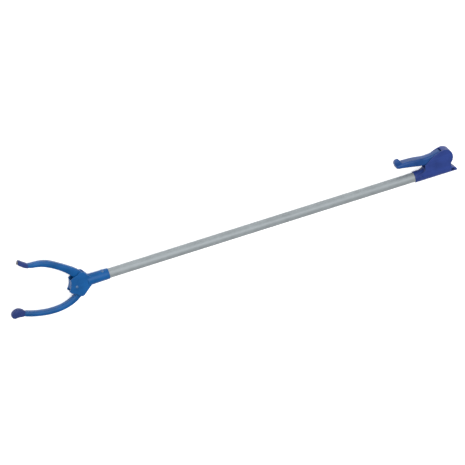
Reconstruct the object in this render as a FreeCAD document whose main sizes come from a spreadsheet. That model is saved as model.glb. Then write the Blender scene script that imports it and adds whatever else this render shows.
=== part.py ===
"""Reacher grabber: a long hand-held pick-up tool with a squeeze trigger and two curved jaws.

Every piece is laid out about the point where the shaft's axis crosses the middle of the jaw head.
X runs along the shaft from the jaws to the handle, Y points to the trigger's side and Z is the
normal of the plane that the jaws and the trigger swing in. The tool is drawn lying on its side,
so the last step lifts every piece onto Z = 0 and centres it over the origin.
"""

import FreeCAD, Part
import math
import os

V = FreeCAD.Vector
X_AXIS = V(1, 0, 0)
Z_AXIS = V(0, 0, 1)
TO_X = FreeCAD.Rotation(V(0, 1, 0), 90)
doc = FreeCAD.newDocument("ReacherGrabber")

# ---------------------------------------------------------------- driving dimensions
sheet = doc.addObject("Spreadsheet::Sheet", "Sizes")
SIZES = {
    # shaft
    "tube_radius": (8.0, "outer radius of the aluminium tube"),
    "tube_wall": (1.0, "wall of the tube"),
    "tube_front": (20.0, "front end of the tube, inside the head's collar"),
    "tube_back": (606.0, "rear end of the tube, inside the handle"),
    # jaw head
    "head_angle": (11.5, "how far the head leans toward the trigger's side, degrees"),
    "plate_gap": (5.25, "inner face of a head plate above the middle plane"),
    "plate_thick": (3.0, "thickness of a head plate"),
    "collar_front": (15.0, "front face of the collar"),
    "collar_back": (52.5, "rear end of the collar"),
    "collar_big": (9.7, "collar radius at the head"),
    "collar_small": (9.0, "collar radius at the tube"),
    "pivot_along": (4.0, "finger pivots, along the head's own axis"),
    "pivot_across": (12.0, "finger pivots, either side of the head's own axis"),
    "pivot_radius": (2.0, "radius of a finger's pivot pin"),
    "finger_half": (5.0, "half thickness of a finger"),
    "fork_half": (2.6, "half thickness of a finger's driven fork"),
    "drive_arm": (8.82, "from a finger's pivot to its drive pin, across the shaft"),
    "drive_pin": (1.5, "radius of a drive pin"),
    "yoke_top": (4.8, "outer face of a yoke plate above the middle plane"),
    "yoke_gap": (2.9, "inner face of a yoke plate above the middle plane"),
    "pad_half": (5.8, "half thickness of the lower tip pad"),
    "sleeve_half": (5.5, "half thickness of the upper tip pad"),
    "magnet_radius": (3.2, "radius of the magnet"),
    "magnet_length": (5.4, "length of the magnet"),
    # pull rod
    "rod_radius": (1.5, "radius of the pull rod"),
    "spring_radius": (4.6, "mean radius of the return spring"),
    "spring_wire": (0.6, "radius of the spring's wire"),
    "spring_front": (566.0, "front end of the return spring"),
    "spring_back": (596.0, "rear end of the return spring"),
    # handle
    "handle_half": (9.8, "half width of the handle"),
    "sleeve_radius": (9.4, "radius of the handle's sleeve around the tube"),
    "sleeve_front": (581.8, "front end of the handle's sleeve"),
    "lobe_radius": (13.4, "radius of the rounded lobe behind the trigger's pivot"),
    "lobe_inner": (12.2, "inside radius of the lobe, about the trigger's pivot"),
    "cheek_inner": (7.9, "inner face of a handle cheek above the middle plane"),
    "toe_half": (7.0, "half thickness of the toe"),
    "hole_radius": (2.2, "radius of the hanging hole"),
    "trigger_along": (635.6, "trigger pivot along the shaft"),
    "trigger_across": (18.8, "trigger pivot beside the shaft"),
    "trigger_pin": (2.5, "radius of the trigger's pivot pin"),
    "grip_half": (9.2, "half width of the trigger's grip"),
    "root_half": (7.6, "half width of the trigger's root"),
    "root_start": (37.0, "distance from the trigger's pivot where its grip narrows to the root"),
    "lip_half": (5.5, "half width of the lip at the grip's front end"),
    "trigger_boss": (11.3, "radius of the trigger's boss"),
    "blade_half": (2.5, "half thickness of the blade under the trigger's pivot"),
    "rivet_radius": (1.6, "radius of a rivet's shank"),
    "hub_head": (2.4, "radius of the hub rivet's head"),
    "collar_head": (2.2, "radius of a collar rivet's head"),
    "lock_head": (1.9, "radius of the head of the rivet in the handle's sleeve"),
    "head_room": (0.2, "room around a rivet's head in its seat"),
    "rivet_lean": (66.0, "how far the collar's rivets lean from Z toward the trigger's side, degrees"),
    "blind_foot": (6.0, "inner end of a blind rivet above the middle plane"),
    "collar_seat": (8.9, "flat seat of the collar's rivet above the middle plane"),
    "lock_seat": (9.0, "flat seat of the sleeve's rivet above the middle plane"),
    "screw_radius": (1.25, "radius of a handle screw"),
    "screw_head": (2.2, "radius of a handle screw's head"),
    "screw_seat": (6.6, "seat of a screw's head beside the middle plane"),
    "pin_skin": (0.6, "skin of the cheek that hides the trigger's pin"),
    "running_gap": (0.05, "radial clearance of a pin that turns in its hole"),
    "slot_gap": (0.15, "clearance on each side of a pin in a slot"),
    "squeeze": (9.3, "travel of the trigger, degrees"),
    "cutter": (40.0, "half length of a cutting tool, longer than any piece is wide"),
}
size = {}
for row, (alias, (value, note)) in enumerate(SIZES.items(), start=1):
    sheet.set(f"A{row}", str(value))
    sheet.setAlias(f"A{row}", alias)
    sheet.set(f"B{row}", note)
    size[alias] = value
doc.recompute()

PIVOT = V(size["trigger_along"], size["trigger_across"], 0)
HALF_SQUEEZE = math.radians(size["squeeze"] / 2)
# the linkage is drawn with the trigger released, half its stroke ahead of the middle
STROKE = 2 * size["trigger_across"] * math.sin(HALF_SQUEEZE)
RELEASED = -STROKE / 2
CUTTER = size["cutter"]


# ---------------------------------------------------------------- helpers
def scoped(rule):
    """A rule whose words that name a dimension point to its cell of the sheet."""
    return " ".join(f"Sizes.{word}" if word in SIZES else word for word in rule.split(" "))


def bind(piece, **rules):
    """Tie properties of a piece to cells of the sheet."""
    for prop, rule in rules.items():
        piece.setExpression(prop, scoped(rule))
    return piece


def profile(name, start, steps):
    """A closed outline: each step is a point, an ("arc", middle, end) or a ("curve", points)."""
    sketch = doc.addObject("Sketcher::SketchObject", name)
    here = V(*start)
    for step in steps:
        if step[0] == "arc":
            end = V(*step[2])
            sketch.addGeometry(Part.Arc(here, V(*step[1]), end), False)
        elif step[0] == "curve":
            end = V(*step[1][-1])
            curve = Part.BSplineCurve()
            curve.interpolate([here] + [V(*point) for point in step[1]])
            sketch.addGeometry(curve, False)
        else:
            end = V(*step)
            sketch.addGeometry(Part.LineSegment(here, end), False)
        here = end
    return sketch


def prism(name, base, top, bottom):
    """A flat outline made solid, from `bottom` below its plane to `top` above it."""
    solid = doc.addObject("Part::Extrusion", name)
    solid.Base = base
    solid.DirMode = "Custom"
    solid.Dir = Z_AXIS
    solid.Solid = True
    return bind(solid, LengthFwd=top, LengthRev=bottom)


def upright(name, x, y, radius, top, bottom):
    """A cylinder along Z, from `bottom` below the middle plane to `top` above it."""
    solid = doc.addObject("Part::Cylinder", name)
    solid.Placement.Base = V(x, y, 0)
    bind(solid, Radius=radius, Height=f"( {top} ) + ( {bottom} )")
    solid.setExpression("Placement.Base.z", scoped(f"0 - ( {bottom} )"))
    return solid


def along(name, radius, front, back, y=0.0):
    """A cylinder along X, from `front` to `back`."""
    solid = doc.addObject("Part::Cylinder", name)
    solid.Placement = FreeCAD.Placement(V(0, y, 0), TO_X)
    bind(solid, Radius=radius, Height=f"( {back} ) - ( {front} )")
    solid.setExpression("Placement.Base.x", scoped(front))
    return solid


def radial(name, x, radius, inner, outer, lean):
    """A cylinder that crosses the shaft at `x`, turned from Z by `lean` degrees about its axis."""
    solid = doc.addObject("Part::Cylinder", name)
    turn = FreeCAD.Rotation(X_AXIS, -lean)
    solid.Placement = FreeCAD.Placement(V(x, 0, 0) + turn.multVec(Z_AXIS * inner), turn)
    return bind(solid, Radius=radius, Height=f"{outer - inner}")


def box(name, corner, spans, half, origin, angle):
    """A box of `spans` from `corner`, turned about Z by `angle` degrees at `origin`."""
    solid = doc.addObject("Part::Box", name)
    solid.Length = spans[0]
    solid.Width = spans[1]
    bind(solid, Height=f"2 * ( {half} )")
    turn = FreeCAD.Rotation(Z_AXIS, angle)
    place = V(origin[0], origin[1], 0) + turn.multVec(V(corner[0], corner[1], 0))
    solid.Placement = FreeCAD.Placement(place, turn)
    solid.setExpression("Placement.Base.z", scoped(f"0 - ( {half} )"))
    return solid


def cut(name, base, *tools):
    """A piece with one or more others taken out of it."""
    if len(tools) == 1:
        tool = tools[0]
    else:
        tool = fuse(name + "_tools", *tools)
    solid = doc.addObject("Part::Cut", name)
    solid.Base = base
    solid.Tool = tool
    return solid


def fuse(name, *shapes):
    solid = doc.addObject("Part::MultiFuse", name)
    solid.Shapes = list(shapes)
    return solid


def label(solid, name):
    solid.Label = name
    pieces.append(solid)
    return solid


def turned(point, angle, centre):
    """A point carried round a centre by an angle in radians."""
    x = point[0] - centre[0]
    y = point[1] - centre[1]
    cos = math.cos(angle)
    sin = math.sin(angle)
    return (centre[0] + x * cos - y * sin, centre[1] + x * sin + y * cos, 0)


def head(x, y):
    """A point given along and across the head's own axis, which leans toward the trigger."""
    return turned((x, y), -math.radians(size["head_angle"]), (0, 0))


def polar(centre, radius, degrees):
    angle = math.radians(degrees)
    return (centre[0] + radius * math.cos(angle), centre[1] + radius * math.sin(angle), 0)


pieces = []
mirrored = []

# ---------------------------------------------------------------- where the linkage meets
UPPER_PIVOT = head(size["pivot_along"], size["pivot_across"])
LOWER_PIVOT = head(size["pivot_along"], -size["pivot_across"])
UPPER_DRIVE = (UPPER_PIVOT[0] + RELEASED, UPPER_PIVOT[1] - size["drive_arm"], 0)
LOWER_DRIVE = (LOWER_PIVOT[0] + RELEASED, LOWER_PIVOT[1] + size["drive_arm"], 0)
HUB_RIVET = (-5.0, -2.4, 0)
COLLAR_RIVET_X = 42.4
COLLAR_LEAN = size["rivet_lean"]
HEAD_WALL = 2.1
LOCK_PIN = (592.0, 0.0, 0)
CLEVIS = (size["trigger_along"] + RELEASED, 0.0, 0)
SCREWS = ((615.0, -4.2, 0), (644.2, 0.9, 0))
HANG_HOLE = (647.2, -4.4, 0)


# ---------------------------------------------------------------- shaft
def make_tube():
    outer = along("TubeOuter", "tube_radius", "tube_front", "tube_back")
    inner = along("TubeInner", "tube_radius - tube_wall", "tube_front - 1", "tube_back + 1")
    # a collar rivet leans to the trigger's side in each half, so its holes mirror each other
    reach = size["tube_radius"] + 1
    holes = [
        radial("TubeCollarHoleNear", COLLAR_RIVET_X, "rivet_radius", 0, reach, COLLAR_LEAN),
        radial("TubeCollarHoleFar", COLLAR_RIVET_X, "rivet_radius", 0, reach, 180 - COLLAR_LEAN),
        upright("TubeLockHole", LOCK_PIN[0], 0, "rivet_radius", "tube_radius + 1",
                "tube_radius + 1"),
    ]
    label(cut("Tube", outer, inner, *holes), "shaft_tube")


def make_bush(name, front, back):
    """A plug in the tube that carries the pull rod."""
    plug = along(name + "Plug", "tube_radius - tube_wall", front, back)
    bore = along(name + "Bore", "rod_radius + 0.1", f"{front} - 1", f"{back} + 1")
    return cut(name, plug, bore)


# ---------------------------------------------------------------- jaw head
def head_wall(name, corner, junction, side):
    """The wall that closes the head behind one finger, between a plate corner and the collar."""
    near = V(*head(*corner))
    far = V(*junction)
    run = (far - near).normalize()
    inward = V(-run.y, run.x, 0) * side
    near = near + run * 2.4
    inner_far = far + inward * HEAD_WALL - run * 0.5
    inner_near = near + inward * HEAD_WALL
    outline = profile(name, near, [far, inner_far, inner_near, near])
    return prism(name + "Solid", outline, "plate_gap + 0.5", "0")


def make_head_plates():
    """Two mirrored mouldings: a plate with four corners that stand out, and half a collar."""
    corner = (8.3, 19.7)
    back = size["collar_front"] + 7.0
    inside = 5.0
    shoulder = polar((size["pivot_along"], size["pivot_across"]), 8.82, 152)
    crown = polar((size["pivot_along"], size["pivot_across"]), 8.82, 106)
    outline = profile("PlateOutline", (back, inside, 0), [
        head(*corner),
        ("arc", head(*crown[:2]), head(*shoulder[:2])),
        head(-11.2, 12.2),
        head(-14.8, 8.8),
        head(-14.0, 5.6),
        ("arc", head(-13.8, -1.5), head(-15.2, -8.0)),
        head(-17.0, -11.0),
        head(-12.6, -14.6),
        head(shoulder[0], -shoulder[1]),
        ("arc", head(crown[0], -crown[1]), head(corner[0], -corner[1])),
        (back, -inside, 0),
        (back, inside, 0),
    ])
    plate = prism("PlateFlat", outline, "plate_gap + plate_thick", "0 - plate_gap")
    upper_wall = head_wall("UpperWall", corner, (19.2, 8.6, 0), -1)
    lower_wall = head_wall("LowerWall", (corner[0], -corner[1]), (18.4, -8.2, 0), 1)

    # the wall across the throat keeps dirt out of the linkage
    throat_outline = profile("ThroatOutline", head(-14.5, 7.6), [
        head(-14.0, 5.6),
        ("arc", head(-13.8, -1.5), head(-15.2, -8.0)),
        head(-13.6, -8.4),
        ("arc", head(-12.2, -1.5), head(-12.4, 5.6)),
        head(-12.9, 7.6),
        head(-14.5, 7.6),
    ])
    throat_wall = prism("ThroatWall", throat_outline, "plate_gap + 0.5", "0")

    collar = doc.addObject("Part::Cone", "HalfCollar")
    collar.Placement = FreeCAD.Placement(V(0, 0, 0), TO_X * FreeCAD.Rotation(Z_AXIS, 90))
    bind(collar, Radius1="collar_big", Radius2="collar_small", Height="collar_back - collar_front")
    collar.setExpression("Placement.Base.x", scoped("collar_front"))
    collar.Angle = 180

    solid = fuse("HeadBlank", plate, upper_wall, lower_wall, throat_wall, collar)
    tools = [
        along("CollarSocket", "tube_radius", "tube_front", "collar_back + 1"),
        along("HeadRodBore", "rod_radius + 0.1", "collar_front - 1", "tube_front + 1"),
        upright("HeadRivetHole", HUB_RIVET[0], HUB_RIVET[1], "rivet_radius", "cutter", "cutter"),
        radial("CollarRivetHole", COLLAR_RIVET_X, "rivet_radius", 0, CUTTER, COLLAR_LEAN),
        radial("CollarRivetSeat", COLLAR_RIVET_X, "collar_head + head_room", size["collar_seat"], CUTTER,
               COLLAR_LEAN),
        upright("UpperPinSeat", UPPER_PIVOT[0], UPPER_PIVOT[1], "pivot_radius",
                "plate_gap + 2", "0"),
        upright("LowerPinSeat", LOWER_PIVOT[0], LOWER_PIVOT[1], "pivot_radius",
                "plate_gap + 2", "0"),
    ]
    near = label(cut("HeadNear", solid, *tools), "head_plate_near")
    mirrored.append((near, "HeadFar", "head_plate_far"))


def make_rivet(name, x, y, top, dome_radius, foot="0", lean=0.0):
    """Domed heads on both sides: one through rivet, or two blind ones that stop at `foot`.

    `lean` turns each of them about the shaft's axis, toward the trigger's side, in degrees.
    """
    sides = []
    for sign, end in ((1, "Near"), (-1, "Far")):
        ball = doc.addObject("Part::Sphere", name + end + "Ball")
        bind(ball, Radius=f"{dome_radius} * 1.6")
        depth = f"{top} - {dome_radius} * 1.25"
        ball.setExpression("Placement.Base.z", scoped(depth if sign > 0 else f"0 - ( {depth} )"))
        inner = f"0 - ( {foot} )"
        under = f"0 - ( {top} )"
        if sign > 0:
            shank = upright(name + end + "Shank", 0, 0, "rivet_radius", top, inner)
            outside = upright(name + end + "Outside", 0, 0, "12", "cutter", under)
        else:
            shank = upright(name + end + "Shank", 0, 0, "rivet_radius", inner, top)
            outside = upright(name + end + "Outside", 0, 0, "12", under, "cutter")
        dome = doc.addObject("Part::Common", name + end + "Dome")
        dome.Base = ball
        dome.Tool = outside
        side = fuse(name + end, shank, dome)
        side.Placement = FreeCAD.Placement(V(x, y, 0), FreeCAD.Rotation(X_AXIS, -sign * lean))
        sides.append(side)
    if foot == "0":
        return fuse(name, *sides)
    pair = doc.addObject("Part::Compound", name)
    pair.Links = sides
    return pair


def make_pins(name, places, radius, top):
    """Straight pins along Z that share one node."""
    pins = []
    for number, place in enumerate(places, start=1):
        pins.append(upright(f"{name}{number}", place[0], place[1], radius, top, top))
    if len(pins) == 1:
        return pins[0]
    group = doc.addObject("Part::Compound", name)
    group.Links = pins
    return group


# ---------------------------------------------------------------- fingers
def make_finger(name, pivot, drive, outer, inner, tip):
    """A curved finger with a boss on its pivot and a fork round its drive pin.

    `outer` runs from the boss to the tip and `inner` back from the tip to the boss, both in the
    head's own axes; `tip` holds the narrower end that the pad covers.
    """
    outer = [head(*point) for point in outer]
    inner = [head(*point) for point in inner]
    steps = [("curve", outer[1:])]
    steps += [head(*point) for point in tip]
    steps.append(inner[0])
    steps.append(("curve", inner[1:]))
    steps.append(outer[0])
    blade_outline = profile(name + "Outline", outer[0], steps)
    blade = prism(name + "Blade", blade_outline, "finger_half", "finger_half")
    boss = upright(name + "Boss", pivot[0], pivot[1], "5.8", "finger_half", "finger_half")

    # the fork points from the pivot to the drive pin
    fork_angle = math.degrees(math.atan2(drive[1] - pivot[1], drive[0] - pivot[0]))
    reach = size["drive_arm"] + 2.4
    arm = box(name + "Arm", (0, -2.9, 0), (reach, 5.8), "fork_half", pivot, fork_angle)
    clear_low = box(name + "Low", (3.4, -9, 0), (CUTTER, 18), "finger_half + 1", pivot, fork_angle)
    core = box(name + "Core", (3.0, -10, 0), (CUTTER + 1, 20), "fork_half", pivot, fork_angle)
    thin_tool = cut(name + "Thin", clear_low, core)
    slot_width = 2 * (size["drive_pin"] + size["slot_gap"])
    slot = box(name + "Slot", (size["drive_arm"] - 2.3, -slot_width / 2, 0), (CUTTER, slot_width),
               "finger_half", pivot, fork_angle)
    bore = upright(name + "Bore", pivot[0], pivot[1], "pivot_radius + running_gap",
                   "finger_half + 1", "finger_half + 1")
    solid = fuse(name + "Blank", blade, boss)
    solid = cut(name + "Stepped", solid, thin_tool)
    solid = fuse(name + "Forked", solid, arm)
    return cut(name + "Bored", solid, slot, bore), blade


def make_fingers():
    upper_outer = [(8.3, 15.8), (4.0, 21.2), (-8.8, 28.6), (-29.1, 37.2), (-53.0, 45.4),
                   (-70.0, 45.4), (-80.0, 43.6), (-87.0, 44.2)]
    upper_inner = [(-85.0, 36.4), (-82.0, 35.8), (-72.0, 36.8), (-59.5, 36.0), (-35.8, 28.2),
                   (-17.0, 18.2), (-8.0, 11.8), (-0.9, 9.0)]
    upper_tip = [(-86.6, 42.8), (-96.4, 46.9), (-98.4, 42.5), (-88.5, 38.6), (-85.4, 38.0)]
    lower_outer = [(8.3, -15.8), (5.4, -20.4), (1.2, -26.0), (-7.0, -33.4), (-31.5, -44.6),
                   (-55.0, -48.2), (-75.8, -48.0), (-94.0, -45.9)]
    lower_inner = [(-90.5, -37.0), (-75.0, -39.4), (-59.8, -39.8), (-29.2, -34.4),
                   (-12.0, -24.8), (-4.5, -17.0), (-1.4, -10.0)]
    lower_tip = [(-94.2, -44.6), (-107.0, -43.6), (-107.6, -38.6), (-91.8, -38.4)]
    upper, upper_blade = make_finger("UpperFinger", UPPER_PIVOT, UPPER_DRIVE,
                                     upper_outer, upper_inner, upper_tip)
    lower, lower_blade = make_finger("LowerFinger", LOWER_PIVOT, LOWER_DRIVE,
                                     lower_outer, lower_inner, lower_tip)

    # the upper finger ends in a soft sleeve that holds a magnet
    sleeve_outline = profile("SleeveOutline", head(-87.0, 44.2), [
        ("curve", [head(-92.0, 46.2), head(-97.0, 49.2)]),
        ("arc", head(-102.8, 48.9), head(-101.9, 43.4)),
        ("curve", [head(-92.0, 38.2), head(-85.0, 36.4)]),
        head(-87.0, 44.2),
    ])
    sleeve = prism("SleeveBlank", sleeve_outline, "sleeve_half", "sleeve_half")
    tip_axis = (V(*head(-101.0, 46.9)) - V(*head(-88.0, 41.6))).normalize()
    magnet_start = V(*head(-97.9, 45.2))
    magnets = []
    for name, length in (("MagnetSeat", "3 * magnet_length"), ("Magnet", "magnet_length")):
        magnet = doc.addObject("Part::Cylinder", name)
        bind(magnet, Radius="magnet_radius", Height=length)
        magnet.Placement = FreeCAD.Placement(magnet_start, FreeCAD.Rotation(Z_AXIS, tip_axis))
        magnets.append(magnet)
    seat, magnet = magnets
    label(cut("UpperPad", sleeve, upper_blade, seat), "tip_pad_upper")
    label(upper, "finger_upper")
    label(magnet, "tip_magnet")

    # the lower finger ends in a broad pad with a raised ring on each side
    pad_outline = profile("PadOutline", head(-94.0, -45.9), [
        ("curve", [head(-100.0, -45.9), head(-106.8, -48.0)]),
        ("arc", head(-111.4, -46.0), head(-112.4, -41.0)),
        ("curve", [head(-108.0, -35.6), head(-101.5, -33.0), head(-95.0, -34.0),
                   head(-90.5, -37.0)]),
        head(-94.0, -45.9),
    ])
    pad = prism("PadBlank", pad_outline, "pad_half", "pad_half")
    spot = head(-103.0, -40.6)
    ring = upright("PadRing", spot[0], spot[1], "5.2", "pad_half + 0.8", "pad_half + 0.8")
    dish = upright("PadDish", spot[0], spot[1], "3.4", "pad_half + 2", "0 - pad_half")
    far_dish = upright("PadFarDish", spot[0], spot[1], "3.4", "0 - pad_half", "pad_half + 2")
    label(cut("LowerPad", fuse("PadWhole", pad, ring), lower_blade, dish, far_dish), "tip_pad_lower")
    label(lower, "finger_lower")


# ---------------------------------------------------------------- pull rod and its fittings
def make_yoke():
    """Two plates joined by a block; the drive pins cross both and the hub rivet guides them."""
    shift = RELEASED
    outline = profile("YokeOutline", (12.6 + shift, 4.6, 0), [
        (3.2 + shift, 4.6, 0),
        (-9.4 + shift, 0.6, 0),
        (-9.4 + shift, -6.6, 0),
        (-4.0 + shift, -6.6, 0),
        (-1.4 + shift, -6.4, 0),
        (12.6 + shift, -6.4, 0),
        (12.6 + shift, 4.6, 0),
    ])
    whole = prism("YokeBlank", outline, "yoke_top", "yoke_top")
    gap = box("YokeGap", (-20 + shift, -CUTTER / 2, 0), (30.3, CUTTER), "yoke_gap", (0, 0, 0), 0)
    half = 1.6 + size["slot_gap"]
    slot_front = HUB_RIVET[0] - half - STROKE
    slot = fuse(
        "YokeSlot",
        upright("YokeSlotFront", slot_front + half + 0.1, HUB_RIVET[1], f"{half}", "cutter", "cutter"),
        upright("YokeSlotBack", HUB_RIVET[0] + 0.3, HUB_RIVET[1], f"{half}", "cutter", "cutter"),
        box("YokeSlotMiddle", (slot_front + half + 0.1, HUB_RIVET[1] - half, 0),
            (STROKE + 0.2, 2 * half), "yoke_top + 1", (0, 0, 0), 0),
    )
    rod_seat = along("YokeRodSeat", "rod_radius", f"{9 + shift}", f"{14 + shift}")
    pin_holes = make_pins("YokePinHole", (UPPER_DRIVE, LOWER_DRIVE), "drive_pin", "cutter")
    label(cut("Yoke", whole, gap, slot, rod_seat, pin_holes), "drive_yoke")
    label(make_pins("DrivePins", (UPPER_DRIVE, LOWER_DRIVE), "drive_pin", "yoke_top"), "drive_pins")


def make_rod():
    """The rod from the yoke to the trigger, with a collar for the spring and a clevis."""
    front = 10.3 + RELEASED
    clevis_front = CLEVIS[0] - 14.0
    label(along("Rod", "rod_radius", f"{front}", f"{clevis_front + 6.0}"), "pull_rod")

    ring = along("RodCollarRing", "6.2", "spring_front - 4", "spring_front")
    ring_bore = along("RodCollarBore", "rod_radius", "spring_front - 5", "spring_front + 1")
    label(cut("RodCollar", ring, ring_bore), "rod_spring_collar")

    body = box("ClevisBody", (clevis_front, -4.0, 0), (14.0, 8.0), "4.9", (0, 0, 0), 0)
    nose = upright("ClevisNose", CLEVIS[0], 0, "4", "4.9", "4.9")
    gap = box("ClevisGap", (clevis_front + 6.6, -5.0, 0), (15.0, 10.0), "blade_half + 0.3",
              (0, 0, 0), 0)
    rod_seat = along("ClevisRodSeat", "rod_radius", f"{clevis_front - 1}", f"{clevis_front + 6.0}")
    pin_hole = upright("ClevisPinHole", CLEVIS[0], 0, "drive_pin", "cutter", "cutter")
    label(cut("Clevis", fuse("ClevisBlank", body, nose), gap, rod_seat, pin_hole), "rod_clevis")
    label(make_pins("ClevisPin", (CLEVIS,), "drive_pin", "4.9"), "clevis_pin")


def make_spring():
    """A coil between the collar on the rod and the rear bush."""
    turns = 10
    length = size["spring_back"] - size["spring_front"] - 2 * size["spring_wire"]
    helix = Part.makeHelix(length / turns, length, size["spring_radius"])
    helix.rotate(V(0, 0, 0), V(0, 1, 0), 90)
    helix.translate(V(size["spring_front"] + size["spring_wire"], 0, 0))
    start = helix.Edges[0].valueAt(helix.Edges[0].FirstParameter)
    heading = helix.Edges[0].tangentAt(helix.Edges[0].FirstParameter)
    ring = Part.Wire(Part.makeCircle(size["spring_wire"], start, heading))
    coil = Part.Wire(helix.Edges).makePipeShell([ring], True, True)
    spring = doc.addObject("Part::Feature", "Spring")
    spring.Shape = coil
    label(spring, "return_spring")


# ---------------------------------------------------------------- handle
def make_shells():
    """Two mirrored shells parted on the middle plane."""
    lobe = size["lobe_radius"]
    lobe_centre = (PIVOT.x + 2.1, PIVOT.y + 2.1)
    cheek_outline = profile("CheekOutline", (584.5, -1.0, 0), [
        (584.5, 3.6, 0),
        ("curve", [(592.0, 5.4, 0), (597.4, 7.4, 0), (601.0, 9.4, 0)]),
        (601.8, 17.6, 0),
        ("curve", [(606.9, 20.4, 0), (612.0, 24.2, 0), (619.0, 28.6, 0), (626.2, 31.6, 0),
                   polar(lobe_centre, lobe, 106)]),
        ("arc", polar(lobe_centre, lobe, 40), polar(lobe_centre, lobe, -28)),
        ("curve", [(647.4, 10.9, 0), (644.9, 7.6, 0), (645.4, 3.8, 0)]),
        (647.0, 1.2, 0),
        (650.5, -1.0, 0),
        (584.5, -1.0, 0),
    ])
    cheek = prism("Cheek", cheek_outline, "handle_half", "0")
    sleeve = along("HandleSleeve", "sleeve_radius", "sleeve_front", "643")
    toe_outline = profile("ToeOutline", (640.0, -9.4, 0), [
        (656.4, -9.4, 0),
        ("curve", [(653.4, -4.6, 0), (647.0, 1.4, 0)]),
        (640.0, 4.0, 0),
        (640.0, -9.4, 0),
    ])
    toe_blank = prism("ToeBlank", toe_outline, "toe_half", "0")
    toe_round = along("ToeRound", "sleeve_radius", "639", "656")
    toe = doc.addObject("Part::Common", "Toe")
    toe.Base = toe_blank
    toe.Tool = toe_round
    far_half = box("FarHalf", (570, -CUTTER, 0), (100, 2 * CUTTER), "10", (0, 0, 0), 0)
    far_half.setExpression("Placement.Base.z", "-20")
    whole = fuse("ShellWhole", cheek, sleeve, toe)

    root_space = profile("RootSpace", (596.0, 10.4, 0), [
        (612.0, 10.4, 0),
        (612.0, 4.0, 0),
        (641.4, 4.0, 0),
        polar(PIVOT, size["lobe_inner"], -61.6),
        ("arc", polar(PIVOT, size["lobe_inner"], 20), polar(PIVOT, size["lobe_inner"], 94)),
        (634.0, 36.0, 0),
        (596.0, 36.0, 0),
        (596.0, 10.4, 0),
    ])
    tools = [
        far_half,
        along("ShellTubeBore", "tube_radius", "sleeve_front - 1", "tube_back"),
        prism("RootSpaceSolid", root_space, "cheek_inner", "1"),
        box("ClevisSpace", (606.0, -5.2, 0), (35.4, 12.0), "6.2", (0, 0, 0), 0),
        upright("ShellPinHole", PIVOT.x, PIVOT.y, "trigger_pin", "handle_half - pin_skin", "1"),
        upright("ShellLockHole", LOCK_PIN[0], LOCK_PIN[1], "rivet_radius", "cutter", "cutter"),
        upright("ShellLockSeat", LOCK_PIN[0], LOCK_PIN[1], "lock_head + head_room", "cutter",
                "0 - lock_seat"),
        upright("ShellHangHole", HANG_HOLE[0], HANG_HOLE[1], "hole_radius", "cutter", "cutter"),
    ]
    screw_boss = upright("ScrewBoss", SCREWS[0][0], SCREWS[0][1], "2.4", "screw_seat + 1", "0")
    blank = fuse("ShellBossed", cut("ShellHollow", whole, *tools), screw_boss)

    # the screws go in from the far shell, through it and into blind holes of the near one
    blind_holes = []
    recesses = []
    for number, (x, y, _) in enumerate(SCREWS, start=1):
        blind_holes.append(upright(f"ScrewBlindHole{number}", x, y, "screw_radius", "screw_seat", "1"))
        recesses.append(upright(f"ScrewHole{number}", x, y, "screw_radius", "cutter", "1"))
        recesses.append(
            upright(f"ScrewRecess{number}", x, y, "screw_head", "cutter", "0 - screw_seat"))
    label(cut("ShellNear", blank, *blind_holes), "handle_shell_near")
    mirrored.append((cut("ShellFarBlank", blank, *recesses), "ShellFar", "handle_shell_far"))


def make_screws():
    """Self-tapping screws from the far side."""
    screws = []
    for number, place in enumerate(SCREWS, start=1):
        x, y, _ = place
        shank = upright(f"ScrewShank{number}", x, y, "screw_radius", "screw_seat", "screw_seat")
        cap = upright(f"ScrewCap{number}", x, y, "screw_head", "0 - screw_seat", "screw_seat + 1.4")
        notch = box(f"ScrewNotch{number}", (-1.5, -0.3, 0), (3.0, 0.6), "0.4", place, 35)
        cross = box(f"ScrewCross{number}", (-1.5, -0.3, 0), (3.0, 0.6), "0.4", place, 125)
        for part in (notch, cross):
            part.setExpression("Placement.Base.z", scoped("0 - screw_seat - 1.6"))
        screws.append(cut(f"Screw{number}", fuse(f"ScrewWhole{number}", shank, cap), notch, cross))
    group = doc.addObject("Part::Compound", "Screws")
    group.Links = screws
    label(group, "handle_screws")


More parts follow.
